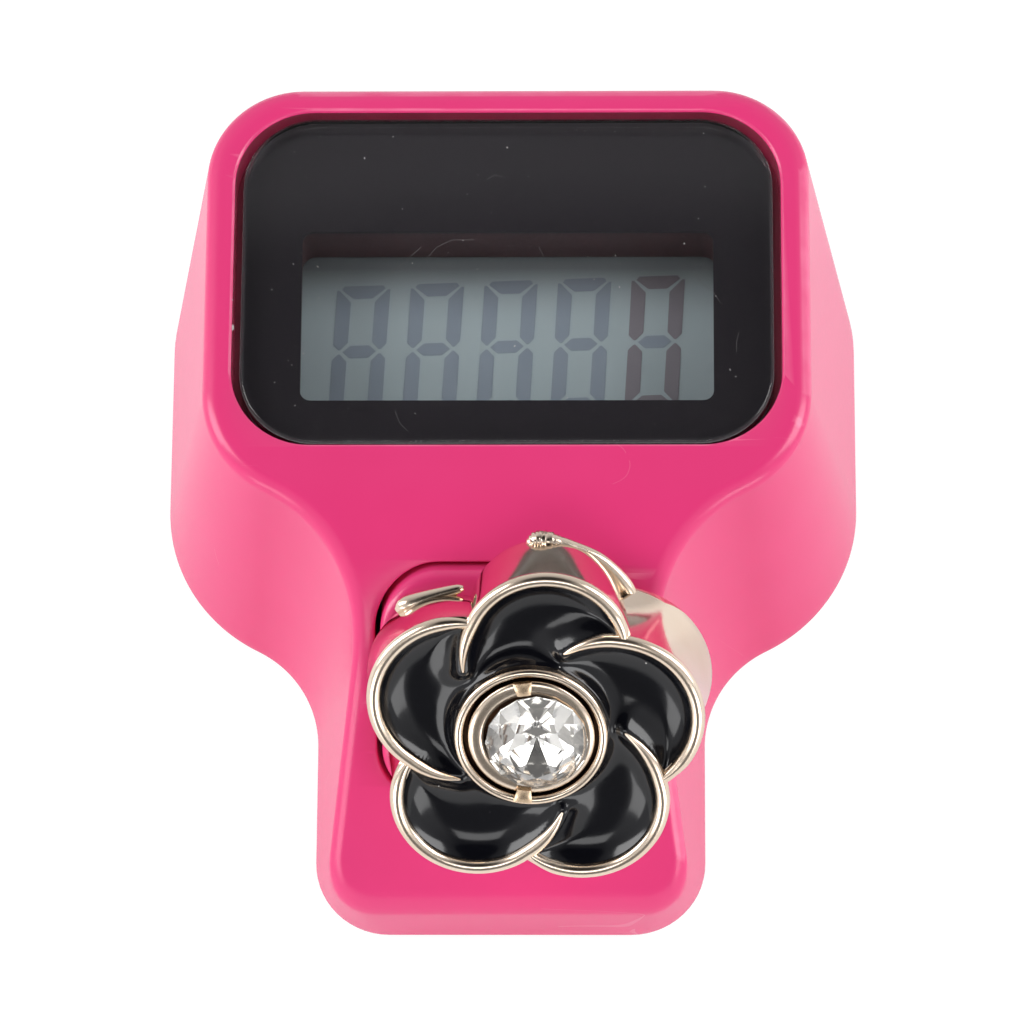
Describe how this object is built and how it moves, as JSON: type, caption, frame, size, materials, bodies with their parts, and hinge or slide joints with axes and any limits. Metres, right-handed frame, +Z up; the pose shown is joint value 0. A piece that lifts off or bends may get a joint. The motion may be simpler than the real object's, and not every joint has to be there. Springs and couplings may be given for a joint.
{
  "type": "digital tally counter",
  "caption": "Small finger-size electronic tally counter: wide head with a liquid-crystal display, and a count key with a flower ornament on its sloping tail.",
  "frame": {"origin": "middle of the flat base, under the case", "axes": "+Z up out of the display, -Y towards the narrow tail with the count key, +X to the right when the display is read"},
  "size_m": [0.0274, 0.0308, 0.0189],
  "materials": {
    "case_pink": "glossy moulded ABS",
    "cover_black": "fine satin",
    "case_screw": "nickel-plated steel",
    "lens": "clear smoked acrylic",
    "mask_black": "printed black",
    "lcd_front_glass": "clear",
    "lcd_rear_glass": "clear",
    "polariser": "grey-green film",
    "reflector": "matt foil on film",
    "frame_white": "satin",
    "zebra_rubber": "layered silicone",
    "board_green": "solder mask",
    "board_screw": "nickel-plated steel",
    "resin_black": "cast epoxy",
    "capacitor": "fired ceramic",
    "resistor": "coated ceramic",
    "cell_steel": "nickel-plated",
    "contact_metal": "nickel-plated spring sheet",
    "dome_rubber": "translucent silicone",
    "wire_black": "insulated",
    "wire_red": "insulated",
    "switch_black": "satin",
    "key_pink": "glossy moulded ABS",
    "pill_carbon": "carbon-filled",
    "gold_plate": "pale gold plating, polished",
    "enamel_black": "high gloss enamel",
    "stone_clear": "cut and polished, foiled back",
    "glue_clear": "set adhesive",
    "plunger_red": "satin"
  },
  "bodies": {
    "case": {"upper_housing": "case_pink", "back_cover": "cover_black", "case_screw_1": "case_screw", "case_screw_2": "case_screw", "case_screw_3": "case_screw", "case_screw_4": "case_screw", "display_lens": "lens", "lens_mask": "mask_black", "lcd_front_glass": "lcd_front_glass", "lcd_rear_glass": "lcd_rear_glass", "lcd_front_polariser": "polariser", "lcd_reflector": "reflector", "lcd_frame": "frame_white", "zebra_strip_lower": "zebra_rubber", "zebra_strip_upper": "zebra_rubber", "main_board": "board_green", "key_board": "board_green", "board_screw_1": "board_screw", "board_screw_2": "board_screw", "chip_resin": "resin_black", "supply_capacitor": "capacitor", "timing_resistor": "resistor", "coin_cell": "cell_steel", "cell_contact_minus": "contact_metal", "cell_contact_plus": "contact_metal", "count_dome": "dome_rubber", "key_wire_left": "wire_black", "key_wire_right": "wire_red", "reset_switch": "switch_black"},
    "count_key": {"count_button": "key_pink", "contact_pill": "pill_carbon", "flower_frame": "gold_plate", "petal_enamel": "enamel_black", "stone_cup": "gold_plate", "rhinestone": "stone_clear", "flower_glue": "glue_clear"},
    "reset_key": {"reset_button": "key_pink", "reset_plunger": "plunger_red"}
  },
  "joints": [
    {"name": "count_key_slide", "type": "slide", "parent": "case", "child": "count_key", "axis": [0, 0.7314, -0.682], "range_m": [0, 0.0005], "stiffness_N_per_m": 2000, "springref_m": -0.0005, "deforming": ["count_dome"]},
    {"name": "reset_key_slide", "type": "slide", "parent": "case", "child": "reset_key", "axis": [0, -1, 0], "range_m": [0, 0.0004], "stiffness_N_per_m": 2500, "springref_m": -0.0003}
  ]
}
